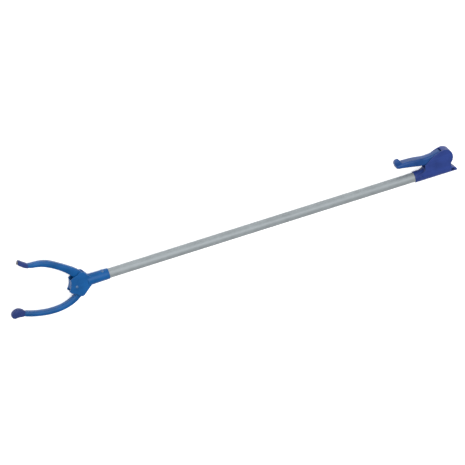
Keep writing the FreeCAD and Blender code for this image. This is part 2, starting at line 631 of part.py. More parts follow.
def make_lever():
    """The squeezed lever: a wide grip with a lip, a narrower root between the cheeks, a blade."""
    boss = size["trigger_boss"]
    outline = profile("LeverOutline", (556.6, 25.0, 0), [
        ("curve", [(564.8, 23.8, 0), (575.2, 22.0, 0), (585.6, 20.0, 0), (596.0, 17.8, 0),
                   (604.0, 16.1, 0), (612.0, 14.6, 0)]),
        ("arc", polar(PIVOT, boss, 245), polar(PIVOT, boss, -60)),
        ("arc", polar(PIVOT, boss, 20), polar(PIVOT, boss, 104)),
        (632.2, 33.3, 0),
        ("curve", [(625.7, 32.1, 0), (621.1, 31.0, 0), (614.4, 30.0, 0), (607.9, 29.7, 0),
                   (603.5, 29.7, 0), (595.4, 30.6, 0), (587.2, 31.7, 0), (579.7, 32.4, 0),
                   (572.2, 32.6, 0), (564.0, 32.5, 0)]),
        (557.4, 31.6, 0),
        ("arc", (554.4, 28.4, 0), (556.6, 25.0, 0)),
    ])
    lip_outline = profile("LipOutline", (556.4, 28.6, 0), [
        ("arc", (553.4, 30.8, 0), (553.5, 34.4, 0)),
        ("curve", [(555.4, 37.4, 0), (558.4, 39.2, 0)]),
        ("arc", (561.4, 39.1, 0), (563.2, 36.8, 0)),
        ("curve", [(565.4, 34.2, 0), (569.4, 32.4, 0)]),
        (566.0, 29.0, 0),
        (556.4, 28.6, 0),
    ])
    grip = prism("LeverGrip", outline, "grip_half", "grip_half")
    lip = prism("LeverLip", lip_outline, "lip_half", "lip_half")
    rear = upright("LeverRear", PIVOT.x, PIVOT.y, "root_start", "cutter", "cutter")
    root = prism("LeverRootBlank", outline, "root_half", "root_half")
    keep = box("LeverRootKeep", (590, -CUTTER, 0), (80, 3 * CUTTER), "root_half", (0, 0, 0), 0)
    root_only = doc.addObject("Part::Common", "LeverRoot")
    root_only.Base = root
    root_only.Tool = keep

    # the blade reaches down to the clevis pin, which runs in a slot a little longer than it is wide
    reach = math.hypot(PIVOT.x - CLEVIS[0], PIVOT.y - CLEVIS[1])
    angle = math.degrees(math.atan2(CLEVIS[1] - PIVOT.y, CLEVIS[0] - PIVOT.x))
    blade = box("LeverBlade", (0, -3.6, 0), (reach + 3.6, 7.2), "blade_half", PIVOT, angle)
    slot_half = size["drive_pin"] + size["slot_gap"]
    slot = box("LeverSlot", (reach - 0.5, -slot_half, 0), (1.0, 2 * slot_half), "cutter",
               PIVOT, angle)
    ends = []
    for number, offset in enumerate((-0.5, 0.5), start=1):
        x, y, _ = polar(PIVOT, reach + offset, angle)
        ends.append(upright(f"LeverSlotEnd{number}", x, y, f"{slot_half}", "cutter", "cutter"))
    bore = upright("LeverBore", PIVOT.x, PIVOT.y, "trigger_pin + running_gap", "cutter", "cutter")
    whole = fuse("LeverWhole", cut("LeverFront", grip, rear), lip, root_only, blade)
    label(cut("Lever", whole, slot, *ends, bore), "trigger_lever")


# ---------------------------------------------------------------- build
make_tube()
label(make_bush("FrontBush", "tube_front", "tube_front + 9"), "front_guide_bush")
label(make_bush("RearBush", "spring_back", "tube_back"), "rear_guide_bush")
make_head_plates()
label(make_rivet("HubRivet", HUB_RIVET[0], HUB_RIVET[1], "plate_gap + plate_thick", "hub_head"),
      "hub_rivet")
label(make_pins("FingerPins", (UPPER_PIVOT, LOWER_PIVOT), "pivot_radius", "plate_gap + 2"),
      "finger_pivot_pins")
label(make_rivet("CollarRivet", COLLAR_RIVET_X, 0, "collar_seat", "collar_head", "blind_foot",
                 COLLAR_LEAN), "collar_rivet")
make_fingers()
make_yoke()
make_rod()
make_spring()
make_shells()
make_screws()
make_lever()
label(make_pins("TriggerPin", (PIVOT,), "trigger_pin", "handle_half - pin_skin"),
      "trigger_pivot_pin")
label(make_rivet("LockPin", LOCK_PIN[0], LOCK_PIN[1], "lock_seat", "lock_head", "blind_foot"),
      "shaft_lock_pin")
doc.recompute()

# ---------------------------------------------------------------- set down on the origin
around = FreeCAD.BoundBox()
for piece in pieces:
    around.add(piece.Shape.optimalBoundingBox(False))
lift = V(-around.Center.x, -around.Center.y, size["handle_half"])
sources = [source for source, _, _ in mirrored if source not in pieces]
for piece in pieces + sources:
    for prop, rule in piece.ExpressionEngine:
        if prop.lstrip(".").startswith("Placement"):
            piece.setExpression(prop, None)
    piece.Placement.Base = piece.Placement.Base + lift
for source, name, node in mirrored:
    twin = doc.addObject("Part::Mirroring", name)
    twin.Source = source
    twin.Base = V(0, 0, size["handle_half"])
    twin.Normal = Z_AXIS
    label(twin, node)
doc.recompute()

for thing in doc.Objects:
    if "Invalid" in thing.State or "Error" in thing.State:
        raise RuntimeError(f"{thing.Name} failed: {thing.State}")
for piece in pieces:
    if piece.Shape.isNull() or not piece.Shape.isValid():
        raise RuntimeError(f"{piece.Label} is not a valid solid")

os.makedirs("parts", exist_ok=True)
for piece in pieces:
    piece.Shape.exportStep(os.path.join("parts", piece.Label + ".step"))
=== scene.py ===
"""The finished look of a reacher grabber: two curved jaws on a tube, worked by a squeeze trigger.

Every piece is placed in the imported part's own frame. Points are given in millimetres from the
hub, where the shaft's axis crosses the middle of the jaw head: X runs to the handle, Y to the
trigger's side and Z away from the floor that the tool lies on.
"""

import math

import bmesh
import bpy
from mathutils import Matrix, Vector


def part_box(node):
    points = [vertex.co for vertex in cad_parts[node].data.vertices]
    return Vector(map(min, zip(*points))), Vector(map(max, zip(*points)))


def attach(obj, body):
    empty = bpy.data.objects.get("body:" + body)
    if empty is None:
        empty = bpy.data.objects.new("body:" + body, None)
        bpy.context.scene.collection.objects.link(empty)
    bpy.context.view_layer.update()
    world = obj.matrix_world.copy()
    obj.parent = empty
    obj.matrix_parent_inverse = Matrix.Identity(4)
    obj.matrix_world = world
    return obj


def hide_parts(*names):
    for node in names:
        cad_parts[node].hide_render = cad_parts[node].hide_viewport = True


bl_info = {
    "name": "Reacher Grabber",
    "version": (1, 0, 0),
    "blender": (4, 5, 0),
    "location": "3D View > Sidebar > Reacher",
    "description": "Builds the jaws, shaft, handle and trigger of a reacher grabber",
    "category": "Add Mesh",
}

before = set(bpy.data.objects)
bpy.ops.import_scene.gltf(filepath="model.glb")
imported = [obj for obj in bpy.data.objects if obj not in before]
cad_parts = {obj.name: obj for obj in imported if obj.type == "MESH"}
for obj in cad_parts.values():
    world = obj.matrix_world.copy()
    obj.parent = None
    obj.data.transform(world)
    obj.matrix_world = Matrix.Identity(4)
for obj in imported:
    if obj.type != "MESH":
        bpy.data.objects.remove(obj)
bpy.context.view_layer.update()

MM = 0.001
TUBE_FRONT = 20.0
tube_low, tube_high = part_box("shaft_tube")
HUB = (tube_low + tube_high) / 2
HUB.x = tube_low.x - TUBE_FRONT * MM

# where things are, in millimetres from the hub
HEAD_LEAN = math.radians(-11.5)
UPPER_PIVOT = (4.0, 12.0)
LOWER_PIVOT = (4.0, -12.0)
HUB_RIVET = (-5.0, -2.4)
COLLAR_RIVET = (42.4, 0.0)
COLLAR_LEAN = math.radians(66)
TRIGGER_PIVOT = (635.6, 18.8)
STROKE = 3.048
DRIVE_ARM = 8.82

# the moulded halves: the grid of their skin, how often it is melted, and how little at the seam
SKIN = 0.5 * MM
MELT_PASSES = 6
SEAM_MELT = 0.15


# ---------------------------------------------------------------- sizes and colours
class ReacherSizes(bpy.types.PropertyGroup):
    """Sizes of the moulded detail"""

    finger_round: bpy.props.FloatProperty(
        name="Finger rounding", description="Radius of a finger's four long edges",
        default=0.0015, min=0.0002, max=0.003, precision=5, unit="LENGTH")
    rim_width: bpy.props.FloatProperty(
        name="Rim width", description="Width of the rims that border a finger's sunken web",
        default=0.0021, min=0.001, max=0.004, precision=5, unit="LENGTH")
    web_depth: bpy.props.FloatProperty(
        name="Web height", description="How far a finger's web stands out between its rims",
        default=0.0009, min=0.0, max=0.003, precision=5, unit="LENGTH")
    grip_round: bpy.props.FloatProperty(
        name="Grip rounding", description="Radius of the trigger grip's long edges",
        default=0.0026, min=0.0002, max=0.004, precision=5, unit="LENGTH")
    pad_round: bpy.props.FloatProperty(
        name="Pad rounding", description="Radius of the soft tips' edges",
        default=0.0020, min=0.0002, max=0.004, precision=5, unit="LENGTH")


class ReacherColours(bpy.types.PropertyGroup):
    """Colours of the finishes"""

    head: bpy.props.FloatVectorProperty(
        name="Head", description="Blue plastic of the jaw head and fingers",
        default=(0.003, 0.066, 0.215), subtype="COLOR", size=3, min=0.0, max=1.0)
    handle: bpy.props.FloatVectorProperty(
        name="Handle", description="Darker blue plastic of the handle shells",
        default=(0.017, 0.037, 0.170), subtype="COLOR", size=3, min=0.0, max=1.0)
    lever: bpy.props.FloatVectorProperty(
        name="Trigger", description="Blue plastic of the trigger",
        default=(0.010, 0.050, 0.185), subtype="COLOR", size=3, min=0.0, max=1.0)
    pad: bpy.props.FloatVectorProperty(
        name="Tips", description="Soft violet-blue of the two finger tips",
        default=(0.018, 0.036, 0.150), subtype="COLOR", size=3, min=0.0, max=1.0)
    tube: bpy.props.FloatVectorProperty(
        name="Tube", description="Satin aluminium of the shaft",
        default=(0.225, 0.250, 0.262), subtype="COLOR", size=3, min=0.0, max=1.0)
    rivet: bpy.props.FloatVectorProperty(
        name="Rivets", description="Blue enamel of the rivets",
        default=(0.045, 0.110, 0.230), subtype="COLOR", size=3, min=0.0, max=1.0)
    steel: bpy.props.FloatVectorProperty(
        name="Steel", description="Rod, spring, pins and screws",
        default=(0.360, 0.350, 0.340), subtype="COLOR", size=3, min=0.0, max=1.0)
    nylon: bpy.props.FloatVectorProperty(
        name="Nylon", description="Natural nylon of the guide bushes",
        default=(0.700, 0.680, 0.600), subtype="COLOR", size=3, min=0.0, max=1.0)
    magnet: bpy.props.FloatVectorProperty(
        name="Magnet", description="Bare ferrite of the tip's magnet",
        default=(0.110, 0.098, 0.092), subtype="COLOR", size=3, min=0.0, max=1.0)
    floor: bpy.props.FloatVectorProperty(
        name="Floor", description="Plain pale floor",
        default=(0.900, 0.900, 0.900), subtype="COLOR", size=3, min=0.0, max=1.0)


# ---------------------------------------------------------------- places
def spot(x, y, z=0.0):
    """A point given in millimetres from the hub, as a place in the frame."""
    return HUB + Vector((x, y, z)) * MM


def head(x, y):
    """A point given along and across the head's own axis, which leans toward the trigger."""
    turn = Matrix.Rotation(HEAD_LEAN, 2)
    return turn @ Vector((x, y))


# ---------------------------------------------------------------- meshes
def finish_piece(name, mesh, material, body, slot, *nodes):
    """Show a mesh as a piece that rides on a body and stands for the nodes it replaces."""
    mesh.name = name
    mesh.materials.clear()
    mesh.materials.append(material)
    mesh.shade_smooth()
    piece = bpy.data.objects.new(name, mesh)
    bpy.context.scene.collection.objects.link(piece)
    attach(piece, body)
    if nodes:
        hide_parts(*nodes)
    return piece


def mesh_of(cage):
    """The mesh of a cage, with every closed shell facing outward."""
    bmesh.ops.recalc_face_normals(cage, faces=cage.faces)
    mesh = bpy.data.meshes.new("cage")
    cage.to_mesh(mesh)
    cage.free()
    return mesh


def subdivide(piece, levels):
    """Round a cage with a live Subdivision Surface."""
    smooth = piece.modifiers.new("Smooth", "SUBSURF")
    smooth.levels = levels
    smooth.render_levels = levels


def loft(cage, rings):
    """Skin a row of rings and close both ends."""
    rows = [[cage.verts.new(point) for point in ring] for ring in rings]
    for near, far in zip(rows, rows[1:]):
        for here in range(len(near)):
            after = (here + 1) % len(near)
            cage.faces.new((near[here], near[after], far[after], far[here]))
    cage.faces.new(rows[0])
    cage.faces.new(rows[-1])


def bar_ring(inner, outer, half, rounding, rim, recess):
    """A cross-section between two points of the middle plane, `half` thick on each side.

    `rounding` is the corner radius, and between two rims the faces sink by `recess`.
    """
    inner = Vector(inner)
    across = Vector(outer) - inner
    width = across.length
    across.normalize()
    rounding = min(rounding, width * 0.4, half * 0.8)
    rim = min(max(rim, rounding * 1.15), width * 0.36)
    corner = rounding * (1 - math.cos(math.radians(45)))
    slope = min(0.7, width * 0.1)
    side = [
        (0, half - rounding),
        (corner, half - corner),
        (rounding, half),
        (rim, half),
        (rim + slope, half - recess),
        (width - rim - slope, half - recess),
        (width - rim, half),
        (width - rounding, half),
        (width - corner, half - corner),
        (width, half - rounding),
    ]
    ring = side + [(reach, -height) for reach, height in reversed(side)]
    return [spot(*(inner + across * reach), height) for reach, height in ring]


def bar(cage, stations, rounding, rim, to_tool=lambda x, y: (x, y)):
    """A bar through stations: inner point, outer point, half thickness and recess of each."""
    loft(cage, [
        bar_ring(to_tool(*inner), to_tool(*outer), half, rounding, rim, recess)
        for inner, outer, half, recess in stations
    ])


def turned(profile, steps=48):
    """Turn a profile of (radius, height) points about Z with a Screw modifier."""
    mesh = bpy.data.meshes.new("profile")
    points = [(radius * MM, 0.0, height * MM) for radius, height in profile]
    mesh.from_pydata(points, [(i, i + 1) for i in range(len(points) - 1)], [])
    blank = bpy.data.objects.new("profile", mesh)
    bpy.context.scene.collection.objects.link(blank)
    screw = blank.modifiers.new("Turn", "SCREW")
    screw.axis = "Z"
    screw.steps = steps
    screw.render_steps = steps
    screw.use_merge_vertices = True
    screw.merge_threshold = 1e-6
    shape = blank.evaluated_get(bpy.context.evaluated_depsgraph_get())
    made = bpy.data.meshes.new_from_object(shape)
    bpy.data.objects.remove(blank)
    return made


def add_turned(cage, profile, place, turn=Matrix.Identity(4), steps=48):
    """Turn a profile and set it down at a place of the frame, turned first if need be."""
    made = turned(profile, steps)
    made.transform(Matrix.Translation(place) @ turn)
    cage.from_mesh(made)
    bpy.data.meshes.remove(made)


def moulding(name, node, material, slot):
    """A copy of a node's shape on an even skin, with its hard edges melted round.

    The edges at the seam of the two halves melt least, so that it stays a fine line.
    """
    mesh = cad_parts[node].data.copy()
    cage = bmesh.new()
    cage.from_mesh(mesh)
    bmesh.ops.remove_doubles(cage, verts=cage.verts, dist=2e-6)
    cage.to_mesh(mesh)
    cage.free()
    blank = bpy.data.objects.new(name + "_blank", mesh)
    bpy.context.scene.collection.objects.link(blank)
    skin = blank.modifiers.new("Even skin", "REMESH")
    skin.mode = "VOXEL"
    skin.voxel_size = SKIN
    skin.use_smooth_shade = True
    depsgraph = bpy.context.evaluated_depsgraph_get()
    even = bpy.data.meshes.new_from_object(blank.evaluated_get(depsgraph))
    bpy.data.objects.remove(blank)
    bpy.data.meshes.remove(mesh)

    piece = finish_piece(name, even, material, "frame", slot, node)
    seam = [vert.index for vert in even.vertices if abs(vert.co.z - HUB.z) < 1.4 * SKIN]
    group = piece.vertex_groups.new(name="melt")
    group.add(range(len(even.vertices)), 1.0, "REPLACE")
    group.add(seam, SEAM_MELT, "REPLACE")
    melt = piece.modifiers.new("Moulded edges", "SMOOTH")
    melt.factor = 0.5
    melt.iterations = MELT_PASSES
    melt.vertex_group = "melt"
    return piece


def dress(node, material):
    """Give a node that stays as it is its finish."""
    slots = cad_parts[node].data.materials
    slots.clear()
    slots.append(material)


# ---------------------------------------------------------------- finishes
def moulded_plastic(name, colour, low_gloss, high_gloss, grain_depth, edge_sheen):
    """Injection-moulded plastic: cloudy colour, flow lines, fine grain, and a painted highlight
    that makes the edges paler in patches.
    """
    material = bpy.data.materials.new(name)
    material.use_nodes = True
    nodes = material.node_tree.nodes
    links = material.node_tree.links
    nodes.clear()

    tint = nodes.new("NodeFrame")
    tint.label = "Pigment clouds and flow lines"
    skin = nodes.new("NodeFrame")
    skin.label = "Tool-steel grain and handling gloss"
    # painted highlight: the edges are made paler in patches, as if they caught the light
    edge_sheen_frame = nodes.new("NodeFrame")
    edge_sheen_frame.label = "Painted edge highlights"

    place = nodes.new("ShaderNodeTexCoord")
    place.label = "Place on the tool"
    clouds = nodes.new("ShaderNodeTexNoise")
    clouds.label = "Pigment clouds"
    clouds.inputs["Scale"].default_value = 45.0
    clouds.inputs["Detail"].default_value = 3.0
    stretch = nodes.new("ShaderNodeMapping")
    stretch.label = "Stretch along the flow"
    stretch.inputs["Scale"].default_value = (18.0, 160.0, 90.0)
    flow = nodes.new("ShaderNodeTexNoise")
    flow.label = "Flow lines of the melt"
    flow.inputs["Scale"].default_value = 1.0
    flow.inputs["Detail"].default_value = 4.0
    flow.inputs["Distortion"].default_value = 0.6
    both = nodes.new("ShaderNodeMath")
    both.label = "Clouds and flow together"
    both.operation = "MULTIPLY_ADD"
    both.inputs[1].default_value = 0.45
    shades = nodes.new("ShaderNodeValToRGB")
    shades.label = "Darker to lighter blue"
    shades.color_ramp.elements[0].position = 0.50
    shades.color_ramp.elements[0].color = [*[part * 0.80 for part in colour], 1.0]
    shades.color_ramp.elements[1].position = 0.92
    shades.color_ramp.elements[1].color = [*[part * 1.16 for part in colour], 1.0]

    soft_edge = nodes.new("ShaderNodeBevel")
    soft_edge.label = "Normal smoothed over the edges"
    soft_edge.samples = 4
    soft_edge.inputs["Radius"].default_value = 0.0011
    facing = nodes.new("ShaderNodeNewGeometry")
    facing.label = "Normal of the surface"
    match = nodes.new("ShaderNodeVectorMath")
    match.label = "How flat the surface is here"
    match.operation = "DOT_PRODUCT"
    edge = nodes.new("ShaderNodeMapRange")
    edge.label = "Only the edges"
    edge.inputs["From Min"].default_value = 0.985
    edge.inputs["From Max"].default_value = 0.86
    patches = nodes.new("ShaderNodeTexNoise")
    patches.label = "Patches of the painted edge highlight"
    patches.inputs["Scale"].default_value = 160.0
    patches.inputs["Detail"].default_value = 5.0
    patchy_edge_sheen = nodes.new("ShaderNodeMath")
    patchy_edge_sheen.label = "Patchy painted edge highlight"
    patchy_edge_sheen.operation = "MULTIPLY"
    # how strongly the painted edge highlight is mixed in
    edge_sheen_strength = nodes.new("ShaderNodeMath")
    edge_sheen_strength.label = "Strength of the painted edge highlight"
    edge_sheen_strength.operation = "MULTIPLY"
    edge_sheen_strength.inputs[1].default_value = edge_sheen
    # mixes a paler blue onto the edges: a painted highlight, broken into patches
    pale = nodes.new("ShaderNodeMix")
    pale.label = "Paler on the edges as a painted highlight"
    pale.data_type = "RGBA"
    pale.inputs["B"].default_value = [*[min(1.0, part * 1.5 + 0.05) for part in colour], 1.0]

    grain = nodes.new("ShaderNodeTexNoise")
    grain.label = "Fine moulded grain"
    grain.inputs["Scale"].default_value = 1900.0
    grain.inputs["Detail"].default_value = 2.0
    waves = nodes.new("ShaderNodeTexNoise")
    waves.label = "Slight waviness of the skin"
    waves.inputs["Scale"].default_value = 70.0
    height = nodes.new("ShaderNodeMath")
    height.label = "Grain over waviness"
    height.operation = "MULTIPLY_ADD"
    height.inputs[1].default_value = 0.35
    relief = nodes.new("ShaderNodeBump")
    relief.label = "Relief of the skin"
    relief.inputs["Strength"].default_value = 0.5
    relief.inputs["Distance"].default_value = grain_depth
    gloss = nodes.new("ShaderNodeMapRange")
    gloss.label = "Uneven gloss"
    gloss.inputs["From Min"].default_value = 0.3
    gloss.inputs["From Max"].default_value = 0.7
    gloss.inputs["To Min"].default_value = low_gloss
    gloss.inputs["To Max"].default_value = high_gloss

    plastic = nodes.new("ShaderNodeBsdfPrincipled")
    plastic.label = "Plastic"
    plastic.inputs["IOR"].default_value = 1.49
    plastic.inputs["Specular IOR Level"].default_value = 0.16
    surface = nodes.new("ShaderNodeOutputMaterial")
    surface.label = "Surface"

    for node, group, where in (
        (place, None, (-1500, 0)), (clouds, tint, (-1200, 420)), (stretch, tint, (-1380, 180)),
        (flow, tint, (-1200, 180)), (both, tint, (-980, 300)), (shades, tint, (-780, 300)),
        (soft_edge, edge_sheen_frame, (-1200, -60)), (facing, edge_sheen_frame, (-1200, -220)), (match, edge_sheen_frame, (-980, -100)),
        (edge, edge_sheen_frame, (-780, -100)), (patches, edge_sheen_frame, (-980, -340)), (patchy_edge_sheen, edge_sheen_frame, (-560, -140)),
        (edge_sheen_strength, edge_sheen_frame, (-380, -140)), (pale, edge_sheen_frame, (-180, 120)), (grain, skin, (-980, -620)),
        (waves, skin, (-980, -860)), (height, skin, (-760, -700)), (relief, skin, (-540, -700)),
        (gloss, skin, (-540, -460)), (plastic, None, (80, 0)), (surface, None, (380, 0)),
    ):
        node.location = where
        node.parent = group

    links.new(place.outputs["Object"], clouds.inputs["Vector"])
    links.new(place.outputs["Object"], stretch.inputs["Vector"])
    links.new(stretch.outputs["Vector"], flow.inputs["Vector"])
    links.new(flow.outputs["Fac"], both.inputs[0])
    links.new(clouds.outputs["Fac"], both.inputs[2])
    links.new(both.outputs["Value"], shades.inputs["Fac"])
    links.new(soft_edge.outputs["Normal"], match.inputs[0])
    links.new(facing.outputs["Normal"], match.inputs[1])
    links.new(match.outputs["Value"], edge.inputs["Value"])
    links.new(place.outputs["Object"], patches.inputs["Vector"])
    links.new(edge.outputs["Result"], patchy_edge_sheen.inputs[0])
    links.new(patches.outputs["Fac"], patchy_edge_sheen.inputs[1])
    links.new(patchy_edge_sheen.outputs["Value"], edge_sheen_strength.inputs[0])
    links.new(edge_sheen_strength.outputs["Value"], pale.inputs["Factor"])
    links.new(shades.outputs["Color"], pale.inputs["A"])
    links.new(pale.outputs["Result"], plastic.inputs["Base Color"])
    links.new(place.outputs["Object"], grain.inputs["Vector"])
    links.new(place.outputs["Object"], waves.inputs["Vector"])
    links.new(grain.outputs["Fac"], height.inputs[0])
    links.new(waves.outputs["Fac"], height.inputs[2])
    links.new(height.outputs["Value"], relief.inputs["Height"])
    links.new(relief.outputs["Normal"], plastic.inputs["Normal"])
    links.new(clouds.outputs["Fac"], gloss.inputs["Value"])
    links.new(gloss.outputs["Result"], plastic.inputs["Roughness"])
    links.new(plastic.outputs["BSDF"], surface.inputs["Surface"])
    return material


def worked_metal(name, colour, metalness, low_gloss, high_gloss, stretch_by, scratch_depth):
    """Drawn, turned or plated metal: fine lines along the working direction and a dull bloom."""
    material = bpy.data.materials.new(name)
    material.use_nodes = True
    nodes = material.node_tree.nodes
    links = material.node_tree.links
    nodes.clear()

    lines = nodes.new("NodeFrame")
    lines.label = "Lines left by the working"
    bloom = nodes.new("NodeFrame")
    bloom.label = "Bloom and handling marks"

    place = nodes.new("ShaderNodeTexCoord")
    place.label = "Place on the tool"
    stretch = nodes.new("ShaderNodeMapping")
    stretch.label = "Stretch along the working direction"
    stretch.inputs["Scale"].default_value = stretch_by
    streaks = nodes.new("ShaderNodeTexNoise")
    streaks.label = "Drawing lines"
    streaks.inputs["Scale"].default_value = 1.0
    streaks.inputs["Detail"].default_value = 6.0
    streaks.inputs["Roughness"].default_value = 0.65
    cloud = nodes.new("ShaderNodeTexNoise")
    cloud.label = "Dull bloom"
    cloud.inputs["Scale"].default_value = 60.0
    cloud.inputs["Detail"].default_value = 4.0
    marks = nodes.new("ShaderNodeTexNoise")
    marks.label = "Small handling marks"
    marks.inputs["Scale"].default_value = 900.0
    marks.inputs["Detail"].default_value = 3.0
    mixed = nodes.new("ShaderNodeMath")
    mixed.label = "Lines over bloom"
    mixed.operation = "MULTIPLY_ADD"
    mixed.inputs[1].default_value = 0.6
    shades = nodes.new("ShaderNodeValToRGB")
    shades.label = "Darker to lighter metal"
    shades.color_ramp.elements[0].position = 0.55
    shades.color_ramp.elements[0].color = [*[part * 0.86 for part in colour], 1.0]
    shades.color_ramp.elements[1].position = 1.0
    shades.color_ramp.elements[1].color = [*[min(1.0, part * 1.12) for part in colour], 1.0]
    gloss = nodes.new("ShaderNodeMapRange")
    gloss.label = "Uneven gloss"
    gloss.inputs["From Min"].default_value = 0.3
    gloss.inputs["From Max"].default_value = 0.7
    gloss.inputs["To Min"].default_value = low_gloss
    gloss.inputs["To Max"].default_value = high_gloss
    height = nodes.new("ShaderNodeMath")
    height.label = "Marks over lines"
    height.operation = "MULTIPLY_ADD"
    height.inputs[1].default_value = 0.3
    relief = nodes.new("ShaderNodeBump")
    relief.label = "Relief of the lines"
    relief.inputs["Strength"].default_value = 0.4
    relief.inputs["Distance"].default_value = scratch_depth

    metal = nodes.new("ShaderNodeBsdfPrincipled")
    metal.label = "Metal"
    metal.inputs["Metallic"].default_value = metalness
    surface = nodes.new("ShaderNodeOutputMaterial")
    surface.label = "Surface"

    for node, group, where in (
        (place, None, (-1300, 0)), (stretch, lines, (-1080, 240)), (streaks, lines, (-880, 240)),
        (mixed, lines, (-640, 200)), (shades, lines, (-440, 200)), (cloud, bloom, (-880, -40)),
        (marks, bloom, (-880, -280)), (gloss, bloom, (-440, -60)), (height, bloom, (-640, -300)),
        (relief, bloom, (-440, -340)), (metal, None, (-80, 60)), (surface, None, (220, 60)),
    ):
        node.location = where
        node.parent = group

    links.new(place.outputs["Object"], stretch.inputs["Vector"])
    links.new(stretch.outputs["Vector"], streaks.inputs["Vector"])
    links.new(place.outputs["Object"], cloud.inputs["Vector"])
    links.new(place.outputs["Object"], marks.inputs["Vector"])
    links.new(streaks.outputs["Fac"], mixed.inputs[0])
    links.new(cloud.outputs["Fac"], mixed.inputs[2])
    links.new(mixed.outputs["Value"], shades.inputs["Fac"])
    links.new(shades.outputs["Color"], metal.inputs["Base Color"])
    links.new(cloud.outputs["Fac"], gloss.inputs["Value"])
    links.new(gloss.outputs["Result"], metal.inputs["Roughness"])
    links.new(marks.outputs["Fac"], height.inputs[0])
    links.new(streaks.outputs["Fac"], height.inputs[2])
    links.new(height.outputs["Value"], relief.inputs["Height"])
    links.new(relief.outputs["Normal"], metal.inputs["Normal"])
    links.new(metal.outputs["BSDF"], surface.inputs["Surface"])
    return material


def pale_paper(name, colour):
    """The plain floor: matt, lit from beneath as well, with the faintest tooth."""
    material = bpy.data.materials.new(name)
    material.use_nodes = True
    nodes = material.node_tree.nodes
    links = material.node_tree.links
    nodes.clear()

    place = nodes.new("ShaderNodeTexCoord")
    place.label = "Place on the floor"
    place.location = (-700, 0)
    tooth = nodes.new("ShaderNodeTexNoise")
    tooth.label = "Tooth of the paper"
    tooth.location = (-500, 0)
    tooth.inputs["Scale"].default_value = 400.0
    relief = nodes.new("ShaderNodeBump")
    relief.label = "Relief of the tooth"
    relief.location = (-300, -160)
    relief.inputs["Strength"].default_value = 0.1
    relief.inputs["Distance"].default_value = 0.0001
    paper = nodes.new("ShaderNodeBsdfPrincipled")
    paper.label = "Paper"
    paper.location = (-60, 0)
    paper.inputs["Base Color"].default_value = [*colour, 1.0]
    paper.inputs["Roughness"].default_value = 0.9
    paper.inputs["Specular IOR Level"].default_value = 0.1
    paper.inputs["Emission Color"].default_value = [*colour, 1.0]
    paper.inputs["Emission Strength"].default_value = 0.40
    surface = nodes.new("ShaderNodeOutputMaterial")
    surface.label = "Surface"
    surface.location = (240, 0)

    links.new(place.outputs["Object"], tooth.inputs["Vector"])
    links.new(tooth.outputs["Fac"], relief.inputs["Height"])
    links.new(relief.outputs["Normal"], paper.inputs["Normal"])
    links.new(paper.outputs["BSDF"], surface.inputs["Surface"])
    return material


# ---------------------------------------------------------------- stage
class REACHER_OT_stage(bpy.types.Operator):
    """Pale floor, soft light from the trigger's side and the camera"""

    bl_idname = "reacher.stage"
    bl_label = "Stage"

    def execute(self, context):
        scene = context.scene
        scene.view_settings.view_transform = "Standard"
        colours = scene.reacher_colours

        floor_mesh = bpy.data.meshes.new("floor")
        reach = 8.0
        floor_mesh.from_pydata(
            [(-reach, -reach, 0), (reach, -reach, 0), (reach, reach, 0), (-reach, reach, 0)],
            [], [(0, 1, 2, 3)])
        floor_mesh.materials.append(pale_paper("pale_floor", colours.floor))
        floor = bpy.data.objects.new("floor", floor_mesh)
        scene.collection.objects.link(floor)

        world = bpy.data.worlds.new("studio")
        world.use_nodes = True
        world.node_tree.nodes.clear()
        sky = world.node_tree.nodes.new("ShaderNodeBackground")
        sky.label = "Even studio fill"
        sky.inputs["Color"].default_value = (1.0, 1.0, 1.0, 1.0)
        sky.inputs["Strength"].default_value = 0.50
        out = world.node_tree.nodes.new("ShaderNodeOutputWorld")
        out.label = "World"
        out.location = (220, 0)
        world.node_tree.links.new(sky.outputs["Background"], out.inputs["Surface"])
        scene.world = world

        for name, place, width, power in (
            ("key", (0.1, 1.0, 2.5), 2.6, 88.0),
            ("fill", (-1.4, -0.9, 1.8), 1.4, 6.0),
        ):
            light = bpy.data.lights.new(name, "AREA")
            light.shape = "SQUARE"
            light.size = width
            light.energy = power
            lamp = bpy.data.objects.new(name, light)
            lamp.location = place
            lamp.rotation_mode = "QUATERNION"
            lamp.rotation_quaternion = (-Vector(place)).to_track_quat("-Z", "Y")
            lamp.visible_camera = False
            scene.collection.objects.link(lamp)

        right = Vector((0.9329, -0.1910, 0.3054))
        up = Vector((0.2941, 0.8934, -0.3397))
        back = right.cross(up).normalized()
        right = up.cross(back).normalized()
        up = back.cross(right)
        lens = bpy.data.cameras.new("camera")
        lens.lens = 1200.0
        lens.sensor_width = 36.0
        view_width = 0.750
        distance = view_width * lens.lens / lens.sensor_width
        lens.clip_start = 0.1
        lens.clip_end = 100.0
        camera = bpy.data.objects.new("camera", lens)
        camera.matrix_world = Matrix.Translation(
            Vector((-0.01234, 0.0092, 0.0582)) + back * distance
        ) @ Matrix((right, up, back)).transposed().to_4x4()
        scene.collection.objects.link(camera)
        scene.camera = camera
        return {"FINISHED"}


# ---------------------------------------------------------------- shaft
class REACHER_OT_shaft(bpy.types.Operator):
    """Satin tube with its guide bushes, pull rod and return spring"""

    bl_idname = "reacher.shaft"
    bl_label = "Shaft"

    def execute(self, context):
        colours = context.scene.reacher_colours
        dress("shaft_tube", worked_metal("satin_aluminium", colours.tube, 0.25, 0.52, 0.64,
                                         (3.0, 420.0, 420.0), 0.00006))
        steel = worked_metal("drawn_steel", colours.steel, 0.95, 0.28, 0.42,
                             (20.0, 900.0, 900.0), 0.00002)
        dress("pull_rod", steel)
        dress("rod_spring_collar", steel)
        dress("return_spring", worked_metal("spring_wire", colours.steel, 1.0, 0.22, 0.36,
                                            (600.0, 600.0, 600.0), 0.00001))
        nylon = moulded_plastic("natural_nylon", colours.nylon, 0.42, 0.55, 0.00002, 0.1)
        dress("front_guide_bush", nylon)
        dress("rear_guide_bush", nylon)
        return {"FINISHED"}


